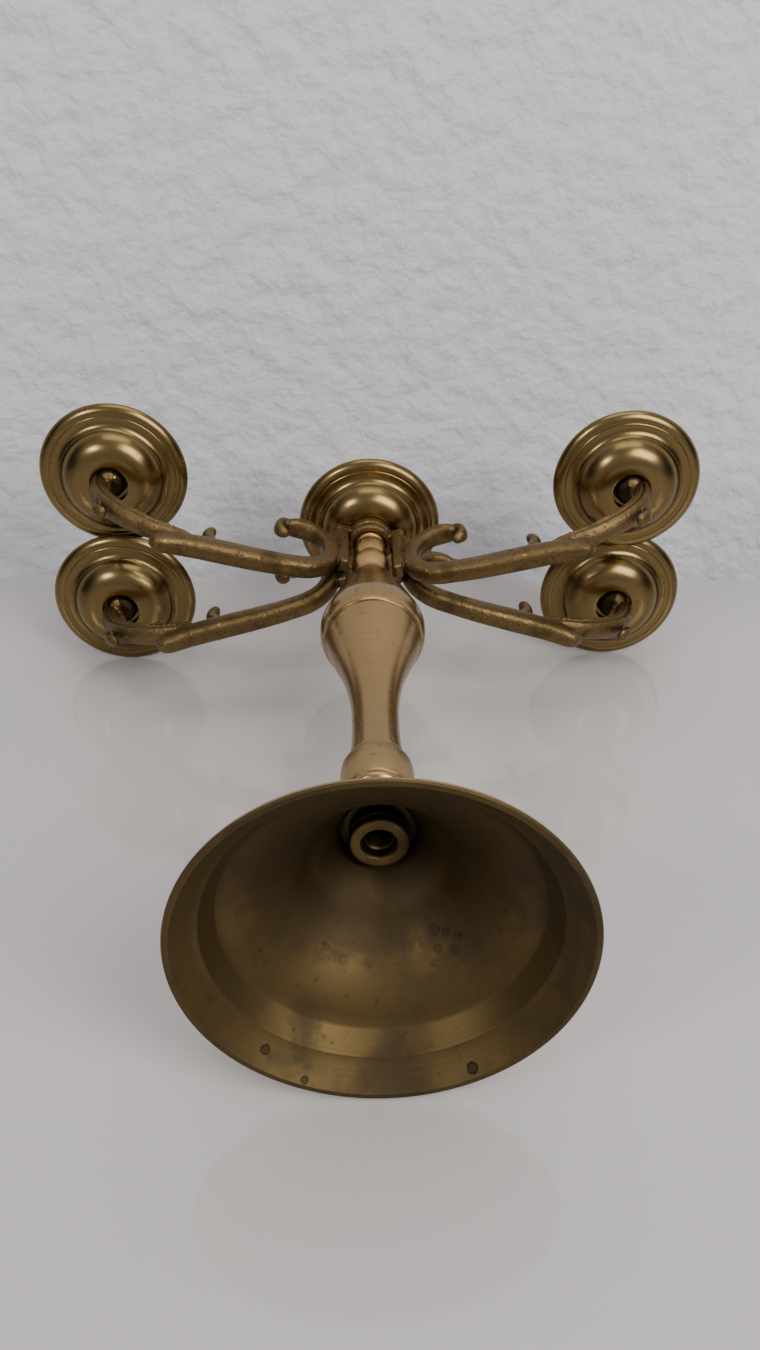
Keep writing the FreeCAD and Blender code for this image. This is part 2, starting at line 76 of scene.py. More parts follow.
def finish_mesh(piece, edge=0.0, smooth_below=38):
    """Break the sharp edges of a new mesh and shade it."""
    if edge:
        bpy.ops.object.modifier_add(type="BEVEL")
        bevel = piece.modifiers[-1]
        bevel.width = edge * MM
        bevel.segments = 2
        bevel.limit_method = "ANGLE"
        bevel.angle_limit = math.radians(28)
        bpy.ops.object.modifier_apply(modifier=bevel.name)
    bpy.ops.object.shade_smooth_by_angle(angle=math.radians(smooth_below))


def lathe(name, outline, seat=0.0, sides=128, edge=0.18):
    """Turn a closed half section, (radius, height) in millimetres over a seat.

    An outline step of two numbers is a straight cut to that corner. One of
    four numbers is an arc through the first pair to the second.
    """
    corners = [outline[0]]
    for step in outline[1:]:
        if len(step) == 4:
            corners += arc(corners[-1], step[:2], step[2:])
        else:
            corners.append(step)
    if outline[0][0] > 0:
        corners.append(outline[0])
    bpy.ops.object.select_all(action="DESELECT")
    bpy.ops.mesh.primitive_plane_add(size=MM, enter_editmode=True)
    piece = bpy.context.object
    piece.name = piece.data.name = name
    bpy.ops.mesh.merge(type="CENTER")
    here = Vector()
    for number, (radius, height) in enumerate(corners):
        there = Vector((radius, 0, seat + height)) * MM
        move = {"value": there - here}
        if number:
            bpy.ops.mesh.extrude_region_move(TRANSFORM_OT_translate=move)
        else:
            bpy.ops.transform.translate(value=move["value"])
        here = there
    bpy.ops.mesh.select_all(action="SELECT")
    bpy.ops.mesh.spin(steps=sides, angle=math.tau, center=(0, 0, 0), axis=(0, 0, 1))
    bpy.ops.mesh.select_all(action="SELECT")
    bpy.ops.mesh.remove_doubles(threshold=0.002 * MM)
    bpy.ops.mesh.normals_make_consistent(inside=False)
    bpy.ops.object.mode_set(mode="OBJECT")
    finish_mesh(piece, edge)
    return piece


def belongs(piece, body, slot, *nodes):
    """Tell the frame what a piece rides on and hide the CAD nodes it stands for. The slot is not
    used.
    """
    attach(piece, body)
    if nodes:
        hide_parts(*nodes)


def new_group(name, inputs, outputs):
    """An empty shader group with named sockets, and its two end nodes."""
    group = bpy.data.node_groups.new(name, "ShaderNodeTree")
    for label, kind, default in inputs:
        socket = group.interface.new_socket(label, in_out="INPUT", socket_type=kind)
        if default is not None:
            socket.default_value = default
    for label, kind in outputs:
        group.interface.new_socket(label, in_out="OUTPUT", socket_type=kind)
    return group, group.nodes.new("NodeGroupInput"), group.nodes.new("NodeGroupOutput")


def node(tree, kind, **settings):
    """Add a shader node; inputs are given by name with a leading underscore."""
    made = tree.nodes.new(kind)
    for key, setting in settings.items():
        if not key.startswith("_"):
            setattr(made, key, setting)
    for key, setting in settings.items():
        if key.startswith("_"):
            socket = made.inputs[int(key[1:])] if key[1:].isdigit() else made.inputs[key[1:]]
            if isinstance(setting, bpy.types.NodeSocket):
                tree.links.new(setting, socket)
            else:
                socket.default_value = setting
    return made


def maths(tree, operation, *values):
    """One sum on numbers or sockets; gives the result's socket."""
    made = tree.nodes.new("ShaderNodeMath")
    made.operation = operation
    for socket, given in zip(made.inputs, values):
        if isinstance(given, bpy.types.NodeSocket):
            tree.links.new(given, socket)
        else:
            socket.default_value = given
    return made.outputs[0]


def ramp(tree, given, low, high, bottom=0.0, top=1.0):
    """Stretch low..high of a value to bottom..top, smoothly."""
    made = node(tree, "ShaderNodeMapRange", interpolation_type="SMOOTHSTEP")
    for label, setting in (("Value", given), ("From Min", low), ("From Max", high),
                           ("To Min", bottom), ("To Max", top)):
        if isinstance(setting, bpy.types.NodeSocket):
            tree.links.new(setting, made.inputs[label])
        else:
            made.inputs[label].default_value = setting
    return made.outputs[0]


def mix(tree, share, first, second):
    """Blend two colours or colour sockets."""
    made = tree.nodes.new("ShaderNodeMix")
    made.data_type = "RGBA"
    sockets = (made.inputs[0], made.inputs[6], made.inputs[7])
    for socket, given in zip(sockets, (share, first, second)):
        if isinstance(given, bpy.types.NodeSocket):
            tree.links.new(given, socket)
        elif socket.type == "RGBA":
            socket.default_value = (*given, 1)
        else:
            socket.default_value = given
    return made.outputs[2]


def tarnish_group():
    """Brown clouds of tarnish, at a broad and a fine size."""
    group, given, result = new_group(
        "tarnish",
        [("Place", "NodeSocketVector", None), ("Size", "NodeSocketFloat", 0.02),
         ("Cover", "NodeSocketFloat", 0.5), ("Seed", "NodeSocketFloat", 0.0)],
        [("Clouds", "NodeSocketFloat"), ("Specks", "NodeSocketFloat")])
    scale = maths(group, "DIVIDE", 1.0, given.outputs["Size"])
    broad = node(group, "ShaderNodeTexNoise", noise_dimensions="4D", _Vector=given.outputs["Place"],
                 _W=given.outputs["Seed"], _Scale=scale, _Detail=5.0, _Roughness=0.62)
    fine = node(group, "ShaderNodeTexNoise", noise_dimensions="4D", _Vector=given.outputs["Place"],
                _W=given.outputs["Seed"], _Scale=maths(group, "MULTIPLY", scale, 7.0),
                _Detail=3.0, _Roughness=0.7)
    start = maths(group, "SUBTRACT", 0.72, maths(group, "MULTIPLY", given.outputs["Cover"], 0.44))
    clouds = ramp(group, broad.outputs[0], start, maths(group, "ADD", start, 0.22))
    group.links.new(clouds, result.inputs["Clouds"])
    group.links.new(ramp(group, fine.outputs[0], 0.60, 0.74), result.inputs["Specks"])
    return group


def turning_group():
    """Fine rings left by the lathe tool, round the piece's own axis."""
    group, given, result = new_group(
        "turning_rings",
        [("Place", "NodeSocketVector", None), ("Pitch", "NodeSocketFloat", 0.0006)],
        [("Rings", "NodeSocketFloat")])
    parts = node(group, "ShaderNodeSeparateXYZ", _Vector=given.outputs["Place"])
    across = maths(group, "SQRT", maths(
        group, "ADD", maths(group, "MULTIPLY", parts.outputs[0], parts.outputs[0]),
        maths(group, "MULTIPLY", parts.outputs[1], parts.outputs[1])))
    section = node(group, "ShaderNodeCombineXYZ", _X=across, _Y=parts.outputs[2])
    lines = node(group, "ShaderNodeTexNoise", noise_dimensions="2D", _Vector=section.outputs[0],
                 _Scale=maths(group, "DIVIDE", 1.0, given.outputs["Pitch"]),
                 _Detail=3.0, _Roughness=0.6)
    group.links.new(lines.outputs[0], result.inputs["Rings"])
    return group


def wear_group():
    """Bright rubbed edges, and painted shade in the hollows, from the shape of the surface."""
    group, given, result = new_group(
        "wear",
        [("Place", "NodeSocketVector", None), ("Reach", "NodeSocketFloat", 0.002)],
        [("Rubbed", "NodeSocketFloat"), ("Hollow", "NodeSocketFloat")])
    shape = node(group, "ShaderNodeNewGeometry")
    scuffs = node(group, "ShaderNodeTexNoise", _Vector=given.outputs["Place"],
                  _Scale=900.0, _Detail=4.0)
    edge = ramp(group, shape.outputs["Pointiness"], 0.53, 0.60)
    rubbed = maths(group, "MULTIPLY", edge, ramp(group, scuffs.outputs[0], 0.30, 0.60))
    # Ambient occlusion gives the Hollow mask, which is painted shade.
    shade = node(group, "ShaderNodeAmbientOcclusion", samples=6, only_local=True,
                 _Distance=given.outputs["Reach"])
    hollow = ramp(group, shade.outputs["AO"], 0.92, 0.25)
    group.links.new(rubbed, result.inputs["Rubbed"])
    group.links.new(hollow, result.inputs["Hollow"])
    return group


def stain_group():
    """One round drop mark: a soft disc with a darker dried edge."""
    group, given, result = new_group(
        "drop_mark",
        [("Place", "NodeSocketVector", None), ("Centre", "NodeSocketVector", None),
         ("Radius", "NodeSocketFloat", 0.002)],
        [("Disc", "NodeSocketFloat"), ("Edge", "NodeSocketFloat")])
    waver = node(group, "ShaderNodeTexNoise", _Vector=given.outputs["Place"], _Scale=700.0)
    apart = node(group, "ShaderNodeVectorMath", operation="DISTANCE",
                 _0=given.outputs["Place"], _1=given.outputs["Centre"])
    reach = maths(group, "DIVIDE", apart.outputs["Value"], given.outputs["Radius"])
    reach = maths(group, "ADD", reach, maths(
        group, "MULTIPLY", maths(group, "SUBTRACT", waver.outputs[0], 0.5), 0.5))
    disc = ramp(group, reach, 1.0, 0.82)
    group.links.new(disc, result.inputs["Disc"])
    group.links.new(maths(group, "MULTIPLY", disc, ramp(group, reach, 0.62, 0.92)),
                    result.inputs["Edge"])
    return group


tarnish = tarnish_group()
turning_rings = turning_group()
wear = wear_group()
drop_mark = stain_group()


def add_group(tree, group, **values):
    """Place a shared effect in a material, with its own values."""
    made = tree.nodes.new("ShaderNodeGroup")
    made.node_tree = group
    for label, given in values.items():
        if isinstance(given, bpy.types.NodeSocket):
            tree.links.new(given, made.inputs[label])
        else:
            made.inputs[label].default_value = given
    return made


def turned_brass(name, clean, dull, gloss, rings=0.25, cover=0.5, seed=0.0, axis=(0, 0, 0),
                 dark=(0.035, 0.022, 0.010), reach=0.002, metal=(1.0, 0.86), marks=()):
    """Brass worked on a lathe: tarnish clouds, tool rings, rubbed edges, and painted shade in the
    hollows.

    gloss is the roughness where clean and where tarnished, metal likewise.
    """
    material = bpy.data.materials.new(name)
    material.use_nodes = True
    tree = material.node_tree
    shader = tree.nodes["Principled BSDF"]
    place = node(tree, "ShaderNodeTexCoord").outputs["Object"]
    centred = node(tree, "ShaderNodeMapping", _Vector=place,
                   _Location=tuple(-value for value in axis)).outputs[0]
    clouds = add_group(tree, tarnish, Place=place, Size=0.024, Cover=cover, Seed=seed)
    lines = add_group(tree, turning_rings, Place=centred)
    wear_and_shade_masks = add_group(tree, wear, Place=place, Reach=reach)
    colour = mix(tree, clouds.outputs["Clouds"], clean, dull)
    streaks = ramp(tree, lines.outputs["Rings"], 0.35, 0.70)
    colour = mix(tree, maths(tree, "MULTIPLY", streaks, rings), colour, dull)
    colour = mix(tree, maths(tree, "MULTIPLY", clouds.outputs["Specks"], 0.35), colour, dark)
    # Painted shade: the ambient-occlusion hollows are blended towards the dark colour.
    colour = mix(tree, maths(tree, "MULTIPLY", wear_and_shade_masks.outputs["Hollow"], 0.75), colour, dark)
    colour = mix(tree, maths(tree, "MULTIPLY", wear_and_shade_masks.outputs["Rubbed"], 0.6), colour, clean)
    rough = ramp(tree, clouds.outputs["Clouds"], 0.0, 1.0, gloss[0], gloss[1])
    rough = maths(tree, "ADD", rough, maths(tree, "MULTIPLY", clouds.outputs["Specks"], 0.12))
    for centre, radius, strength, stain in marks:
        mark = add_group(tree, drop_mark, Place=place, Centre=centre, Radius=radius)
        share = maths(tree, "MULTIPLY", mark.outputs["Disc"], strength * 0.45)
        dried = maths(tree, "MULTIPLY", mark.outputs["Edge"], strength * 0.5)
        share = maths(tree, "ADD", share, dried)
        colour = mix(tree, share, colour, stain)
    tree.links.new(colour, shader.inputs["Base Color"])
    tree.links.new(rough, shader.inputs["Roughness"])
    tree.links.new(ramp(tree, clouds.outputs["Clouds"], 0.0, 1.0, metal[0], metal[1]),
                   shader.inputs["Metallic"])
    grain = node(tree, "ShaderNodeTexNoise", _Vector=place, _Scale=260.0, _Detail=6.0)
    height = maths(tree, "ADD", maths(tree, "MULTIPLY", lines.outputs["Rings"], rings),
                   maths(tree, "MULTIPLY", grain.outputs[0], 0.35))
    bump = node(tree, "ShaderNodeBump", _Height=height, _Strength=0.35, _Distance=0.00012)
    tree.links.new(bump.outputs[0], shader.inputs["Normal"])
    return material


foot_high = millimetres("foot")[1]
rim = foot_high.x - 0.1
foot_top = foot_high.z
low_step = rim - 6.1
high_step = rim - 12.1
throat = 11.6
shoulder = foot_top - 14.0
tube_hole = 5.1

foot_bell = lathe("foot_bell", [
    (rim - 1.8, 0.0),
    (rim - 0.3, 0.0),
    (rim + 0.1, 0.9, rim - 0.4, 1.8),
    (low_step + 0.8, 7.2),
    (low_step - 1.6, 8.7),
    (high_step + 1.3, 14.3),
    (high_step - 0.9, 16.5),
    (high_step * 0.72, 25.4, throat + 10.2, shoulder - 11.8),
    (throat + 3.4, shoulder - 3.4, throat + 0.6, shoulder + 5.6),
    (9.0, foot_top - 4.6, 9.6, foot_top - 2.4),
    (10.4, foot_top - 1.2, 10.2, foot_top),
    (tube_hole, foot_top),
    (tube_hole, shoulder),
    (throat, shoulder),
    (throat, shoulder - 1.6),
    (throat + 2.6, shoulder - 6.4, throat + 8.4, shoulder - 13.4),
    (high_step * 0.70, 24.0, high_step - 0.8, 15.0),
    (high_step, 14.2),
    (low_step - 2.5, 7.8),
    (low_step, 6.2),
], sides=192, edge=0.35)

SATIN = (0.37, 0.252, 0.115)
SATIN_DULL = (0.21, 0.140, 0.062)
MATT = (0.105, 0.070, 0.027)
MATT_DULL = (0.058, 0.038, 0.015)
# Near-black brown for the water marks and tarnish specks, and for painted shade in hollows.
STAIN_AND_SHADE_DARK = (0.012, 0.009, 0.005)

foot_outside = turned_brass("foot_satin_brass", SATIN, SATIN_DULL, (0.26, 0.42), seed=1.0)


def on_bell(angle, radius):
    """The place inside the bell at an angle in degrees and a radius."""
    turn = math.radians(angle)
    below = Vector((radius * math.cos(turn), radius * math.sin(turn), -10)) * MM
    _, place, _, _ = foot_bell.ray_cast(below, (0, 0, 1))
    return tuple(place)


# Each mark: its angle and radius inside the bell, its size and its strength.
WATER_MARKS = [
    (on_bell(angle, radius), size * MM, strength, STAIN_AND_SHADE_DARK)
    for angle, radius, size, strength in (
        (52, 26.0, 1.9, 0.7),
        (46, 27.5, 1.6, 0.7),
        (55, 29.5, 1.5, 0.6),
        (47, 31.5, 1.7, 0.6),
        (40, 29.5, 1.3, 0.6),
        (110, 30.0, 1.8, 0.4),
        (128, 52.5, 1.6, 1.2),
        (61, 54.0, 1.9, 1.6),
        (113, 54.8, 1.3, 1.4),
    )
]
# Inside the bell the hollows, out to 12 mm, get painted shade towards near black.
foot_inside = turned_brass("foot_matt_brass", MATT, MATT_DULL, (0.50, 0.60), rings=0.22,
                           cover=0.72, seed=2.0, dark=STAIN_AND_SHADE_DARK, reach=0.012, metal=(0.92, 0.75),
                           marks=WATER_MARKS)
foot_bell.data.materials.append(foot_outside)
foot_bell.data.materials.append(foot_inside)
for face in foot_bell.data.polygons:
    outward = face.center.x * face.normal.x + face.center.y * face.normal.y
    inner_side = face.center.length and (outward < 0 or face.normal.z < -0.2)
    if inner_side and face.center.z < shoulder * MM + 0.0001:
        face.material_index = 1
belongs(foot_bell, "stand", "foot_brass", "foot")

# ------------------------------------------------- nut, washer and tie tube
# What clamps the stand: a threaded brass tube runs up through foot, knop,
# shaft and bulb, and a round lock nut on a steel washer pulls them together
# inside the foot. The tube's end sits a little up inside the nut.

washer_low, washer_high = millimetres("foot_washer")
nut_low, nut_high = millimetres("foot_nut")
tube_low, tube_high = millimetres("tie_tube")
nut_edge = nut_high.x
nut_height = nut_high.z - nut_low.z
tube_edge = tube_high.x

washer = lathe("clamp_washer", [
    (tube_hole, 0.0),
    (washer_high.x, 0.0),
    (washer_high.x, washer_high.z - washer_low.z),
    (tube_hole, washer_high.z - washer_low.z),
], seat=washer_low.z, sides=64, edge=0.25)

lock_nut = lathe("lock_nut", [
    (tube_edge + 0.6, 0.0),
    (nut_edge - 1.2, 0.0),
    (nut_edge - 0.3, 0.35, nut_edge, 1.3),
    (nut_edge, 2.6),
    (nut_edge - 0.35, 2.9),
    (nut_edge - 0.35, 3.3),
    (nut_edge, 3.6),
    (nut_edge, nut_height),
    (tube_edge + 0.05, nut_height),
    (tube_edge + 0.05, 0.8),
], seat=nut_low.z, sides=96, edge=0.15)

THREAD = 0.8
THREAD_TURNS = 12
tube_bore = 3.9
tube_length = tube_high.z - tube_low.z
bore_side = [(tube_bore, tube_length)]
for turn in range(THREAD_TURNS, 0, -1):
    bore_side += [(tube_bore, turn * THREAD + 0.4), (tube_bore + 0.25, turn * THREAD)]
tie_tube = lathe("tie_tube_thread", [
    (tube_bore + 0.5, 0.0),
    (tube_edge - 0.5, 0.0),
    (tube_edge, 0.5),
    (tube_edge, tube_length),
    *bore_side,
    (tube_bore, 0.5),
], seat=tube_low.z, sides=64, edge=0.0)

STEEL = (0.050, 0.038, 0.022)
STEEL_DULL = (0.022, 0.016, 0.010)
dull_steel = turned_brass("steel_finish", STEEL, STEEL_DULL, (0.38, 0.60), cover=0.6, seed=3.0)
nut_brass = turned_brass("nut_brass", (0.17, 0.112, 0.047), MATT_DULL, (0.42, 0.58), cover=0.66,
                         seed=4.0, dark=STAIN_AND_SHADE_DARK, reach=0.003)
tube_brass = turned_brass("tube_brass", (0.10, 0.07, 0.035), (0.03, 0.02, 0.01), (0.4, 0.6),
                          seed=5.0, dark=STAIN_AND_SHADE_DARK)
washer.data.materials.append(dull_steel)
lock_nut.data.materials.append(nut_brass)
tie_tube.data.materials.append(tube_brass)
belongs(washer, "stand", "dull_steel", "foot_washer")
belongs(lock_nut, "stand", "foot_brass", "foot_nut")
belongs(tie_tube, "stand", "stem_brass", "tie_tube")

# ------------------------------------------------------------- turned stem
# Three solid turnings stacked on the tube: a knop with a sharp upper edge,
# a slender shaft that opens like a vase, and the bulb that caps it. All are
# satin, worn by hands, with a joint line where one sits on the next.

knop_low, knop_high = millimetres("knop")
shaft_low, shaft_high = millimetres("shaft")
bulb_low, bulb_high = millimetres("bulb")

knop_edge = knop_high.x
knop_tall = knop_high.z - knop_low.z
knop = lathe("stem_knop", [
    (tube_hole, 0.0),
    (knop_edge - 1.2, 0.0),
    (knop_edge, knop_tall * 0.42, knop_edge - 0.3, knop_tall * 0.70),
    (knop_edge - 0.5, knop_tall * 0.73),
    (knop_edge - 1.7, knop_tall * 0.74),
    (knop_edge - 2.3, knop_tall * 0.84, 8.9, knop_tall),
    (tube_hole, knop_tall),
], seat=knop_low.z, edge=0.2)

waist = 7.9
shaft_mouth = shaft_high.x
shaft_tall = shaft_high.z - shaft_low.z
shaft = lathe("stem_shaft", [
    (tube_hole, 0.0),
    (waist + 0.9, 0.0),
    (waist + 0.9, 0.6),
    (waist + 0.25, shaft_tall * 0.11, waist, shaft_tall * 0.26),
    (waist + 1.0, shaft_tall * 0.51, (waist + shaft_mouth) / 2, shaft_tall * 0.77),
    (shaft_mouth - 2.1, shaft_tall * 0.90, shaft_mouth, shaft_tall),
    (tube_hole, shaft_tall),
], seat=shaft_low.z, edge=0.12)

bulb_lip = 18.5
bulb_wide = bulb_high.x
bulb_neck = 8.4
bulb_tall = bulb_high.z - bulb_low.z
bulb = lathe("stem_bulb", [
    (tube_hole, 0.0),
    (bulb_lip - 0.4, 0.0),
    (bulb_lip, 0.5),
    (bulb_wide, bulb_tall * 0.16, bulb_wide - 1.1, bulb_tall * 0.29),
    ((bulb_wide + bulb_neck) / 2, bulb_tall * 0.63, bulb_neck, bulb_tall),
    (tube_hole, bulb_tall),
], seat=bulb_low.z, edge=0.12)

knop.data.materials.append(
    turned_brass("knop_brass", (0.37, 0.26, 0.120), SATIN_DULL, (0.32, 0.44), seed=6.0))
shaft.data.materials.append(
    turned_brass("shaft_brass", SATIN, SATIN_DULL, (0.24, 0.35), cover=0.4, seed=7.0))
bulb.data.materials.append(
    turned_brass("bulb_brass", SATIN, SATIN_DULL, (0.24, 0.35), cover=0.42, seed=8.0))
belongs(knop, "stand", "stem_brass", "knop")
belongs(shaft, "stand", "stem_brass", "shaft")
belongs(bulb, "stand", "stem_brass", "bulb")

# ------------------------------------------------------------ bead spindle
# One turned rod screwed down into the tube: a cove and three beads that show
# between bulb and arms, then the bearing post that the arms turn on, and the
# stud for the centre cup. The beads are rubbed bright.

spindle_low, spindle_high = millimetres("bead_spindle")
spindle_seat = bulb_high.z
post_radius = 4.0
post_top = millimetres("drip_pan_centre")[0].z + 4.0 - spindle_seat
stud_radius = 3.0
stud_top = spindle_high.z - spindle_seat
bead_shoulder = post_top - 10.65
bead_spindle = lathe("bead_spindle_turning", [
    (0.0, spindle_low.z - spindle_seat),
    (3.3, spindle_low.z - spindle_seat),
    (3.8, spindle_low.z - spindle_seat + 0.5),
    (3.8, 0.0),
    (bulb_neck - 0.2, 0.0),
    (bulb_neck - 0.2, 1.2),
    (6.3, 3.3, 6.3, 7.0),
    (7.6, 13.0, 6.2, 18.8),
    (6.1, 19.2),
    (6.9, 25.0, 5.6, 30.8),
    (5.5, 31.2),
    (6.6, 33.1, 6.2, bead_shoulder),
    (post_radius, bead_shoulder),
    (post_radius, post_top),
    (stud_radius, post_top),
    (stud_radius, stud_top - 0.5),
    (stud_radius - 0.5, stud_top),
    (0.0, stud_top),
], seat=spindle_seat, sides=96, edge=0.12)
BEAD = (0.56, 0.36, 0.15)
bead_spindle.data.materials.append(
    turned_brass("bead_brass", BEAD, SATIN_DULL, (0.34, 0.46), cover=0.38, seed=9.0))
belongs(bead_spindle, "stand", "bead_brass", "bead_spindle")

# ----------------------------------------------------------- double arms
# Two like castings, each a ring with two opposite arms. An arm leaves the
# ring by an ear, a flat strap hangs beside the beads, a scroll curls over
# with a folded bud at its hook, and a limb runs out to a knuckle, where a
# ribbed leaf sweeps up to the pan. Filed by hand, with painted shade in the
# hollows and at the seats under the pans, and a painted highlight on faces
# that point up the stand.

ring_low = millimetres("lower_double_arm")[0]
upper_low = millimetres("upper_double_arm")[0]
pan_low, pan_high = millimetres("drip_pan_front_right")
pan_middle = (pan_low + pan_high) / 2
pan_reach = math.hypot(pan_middle.x, pan_middle.y)
half_cross = math.degrees(math.atan2(-pan_middle.y, pan_middle.x))
lower_rim = pan_high.z - 0.2
lower_ring = lower_rim - 5.7

scroll_reach = 30.5
scroll_wide = 13.8
scroll_tall = 17.0
scroll_drop = 20.8
limb_drop = 40.4
knuckle = 83.0
tip_seat = 5.7 - 8.4


def sweep(name, stations, section):
    """Draw a closed section along stations in the arm's plane.

    A station is (across, up, lean, half thickness, half width), where lean
    is the way that the thickness points, in degrees from level. The section
    is a list of (thickness, width) corners on a unit circle.
    """
    bpy.ops.object.select_all(action="DESELECT")
    bpy.ops.mesh.primitive_circle_add(vertices=len(section), radius=1, fill_type="NGON",
                                      enter_editmode=True)
    piece = bpy.context.object
    piece.name = piece.data.name = name
    bpy.ops.object.mode_set(mode="OBJECT")
    for corner, (thick, wide) in zip(piece.data.vertices, section):
        corner.co = Vector((thick, wide, 0))
    bpy.ops.object.mode_set(mode="EDIT")
    bpy.ops.mesh.select_all(action="SELECT")
    centre, lean, size = Vector(), 0.0, (1.0, 1.0)
    for number, (across, up, new_lean, thick, wide) in enumerate(stations):
        if number:
            bpy.ops.mesh.extrude_region_move()
        bpy.ops.transform.rotate(value=math.radians(-lean), orient_axis="Y",
                                 center_override=centre)
        bpy.ops.transform.resize(value=(thick * MM / size[0], wide * MM / size[1], 1),
                                 center_override=centre)
        bpy.ops.transform.rotate(value=math.radians(new_lean), orient_axis="Y",
                                 center_override=centre)
        there = Vector((across, 0, up)) * MM
        bpy.ops.transform.translate(value=there - centre)
        centre, lean, size = there, new_lean, (thick * MM, wide * MM)
    bpy.ops.mesh.select_all(action="SELECT")
    bpy.ops.mesh.normals_make_consistent(inside=False)
    bpy.ops.object.mode_set(mode="OBJECT")
    bpy.ops.object.modifier_add(type="SUBSURF")
    rounding = piece.modifiers[-1]
    rounding.levels = rounding.render_levels = 2
    bpy.ops.object.modifier_apply(modifier=rounding.name)
    return piece


def round_section(count):
    """Corners of a plain round bar."""
    for number in range(count):
        angle = math.tau * number / count
        yield math.cos(angle), math.sin(angle)


def filed_section(count, fullness=0.72):
    """Corners of a bar filed nearly square, with rounded corners."""
    for thick, wide in round_section(count):
        yield (math.copysign(abs(thick) ** fullness, thick),
               math.copysign(abs(wide) ** fullness, wide))


def ribbed_section(ribs, depth):
    """Corners of a bar whose under side is cut into ribs."""
    count = ribs * 4
    for number in range(count):
        angle = math.tau * number / count
        valley = number % 2 and math.cos(angle) < 0.35
        size = 1 - depth if valley else 1.04
        yield size * math.cos(angle), size * math.sin(angle)


SCROLL = ((62, 0.55, 0.85), (74, 0.72, 1.20), (90, 0.80, 1.28), (108, 0.88, 1.20),
          (126, 0.95, 1.10), (147, 1.0, 1.04), (168, 1.04, 1.04), (190, 1.08, 1.08),
          (212, 1.12, 1.12), (236, 1.16, 1.16), (258, 1.22, 1.20))
scroll_stations = [
    (scroll_reach + scroll_wide * math.cos(math.radians(angle)),
     -scroll_drop + scroll_tall * math.sin(math.radians(angle)),
     angle, 3.6 * thick, 3.5 * wide)
    for angle, thick, wide in SCROLL]
limb_stations = [
    (32.5, -limb_drop * 0.945, 272, 4.35, 4.1),
    (38.0, -limb_drop * 0.975, 272, 4.5, 4.1),
    (49.0, -limb_drop * 0.995, 272, 4.75, 4.3),
    (62.0, -limb_drop * 1.005, 270, 4.85, 4.4),
    (72.0, -limb_drop * 1.020, 265, 4.75, 4.3),
    (79.0, -limb_drop * 1.052, 258, 4.4, 4.1),
    (83.5, -limb_drop * 1.090, 246, 4.3, 3.9),
    (86.6, -limb_drop * 1.125, 234, 3.5, 3.2),
    (87.8, -limb_drop * 1.145, 226, 1.9, 1.8)]
leaf_run = pan_reach - knuckle
LEAF = (
    (-0.46, 0.935, 275, 0.45, 0.50),
    (-0.30, 0.900, 277, 0.78, 0.80),
    (-0.05, 0.870, 281, 0.93, 0.90),
    (0.20, 0.835, 287, 1.02, 0.98),
    (0.46, 0.770, 297, 1.06, 1.02),
    (0.72, 0.665, 308, 1.06, 1.04),
    (0.95, 0.530, 321, 1.04, 1.05),
    (1.09, 0.380, 336, 0.98, 1.05),
    (1.13, 0.235, 350, 0.90, 1.03),
    (1.13, 0.110, 0, 0.82, 1.00))
leaf_stations = [
    (knuckle + leaf_run * share, -limb_drop * drop, lean, 4.3 * thick, 5.0 * wide)
    for share, drop, lean, thick, wide in LEAF]
hook_across = scroll_reach + scroll_wide * math.cos(math.radians(72))
hook_up = -scroll_drop + scroll_tall * math.sin(math.radians(72))
hook_bud_stations = [
    (hook_across - 1.0, hook_up + 0.9, 75, 1.4, 2.4),
    (hook_across + 2.2, hook_up + 0.4, 66, 2.3, 4.0),
    (hook_across + 4.6, hook_up - 1.4, 35, 2.4, 4.1),
    (hook_across + 4.9, hook_up - 3.8, -10, 2.3, 3.4),
    (hook_across + 3.4, hook_up - 6.0, -40, 2.2, 2.9),
    (hook_across + 1.4, hook_up - 7.2, -62, 1.8, 2.2),
    (hook_across + 0.2, hook_up - 7.6, -75, 0.9, 1.1)]
thorn_stations = [
    (61.0, -limb_drop + 2.0, -62, 2.0, 2.6),
    (65.3, -limb_drop + 5.2, -30, 3.0, 2.9),
    (67.3, -limb_drop + 9.0, -5, 2.5, 2.6),
    (67.0, -limb_drop + 12.2, 20, 2.5, 2.6),
    (65.8, -limb_drop + 14.2, 45, 2.5, 2.7),
    (64.6, -limb_drop + 14.9, 75, 1.6, 1.8),
    (64.0, -limb_drop + 14.7, 100, 0.7, 0.9)]
leaf_curl_stations = [
    (107.2, -33.0, 300, 1.6, 3.2),
    (110.6, -31.0, 318, 1.7, 3.2),
    (113.2, -28.3, 348, 1.5, 2.8),
    (112.6, -26.2, 40, 1.3, 2.2),
    (110.8, -25.6, 80, 0.8, 1.4)]

bar = list(round_section(12))
arm_parts = [
    sweep("scroll_and_limb", scroll_stations + limb_stations, list(filed_section(16))),
    sweep("ribbed_leaf", leaf_stations, list(ribbed_section(6, 0.55))),
    sweep("leaf_curl", leaf_curl_stations, bar),
    sweep("hook_bud", hook_bud_stations, bar),
    sweep("thorn", thorn_stations, bar),
]


def arm_block(name, low, high, width, bottom, top):
    """A bar of the casting, from one radius to another, with filed corners."""
    bpy.ops.object.select_all(action="DESELECT")
    centre = Vector(((low + high) / 2, 0, (bottom + top) / 2)) * MM
    bpy.ops.mesh.primitive_cube_add(size=1, location=centre)
    piece = bpy.context.object
    piece.name = piece.data.name = name
    piece.scale = Vector((high - low, width, top - bottom)) * MM
    bpy.ops.object.transform_apply(location=True, rotation=False, scale=True)
    finish_mesh(piece, 0.5)
    return piece


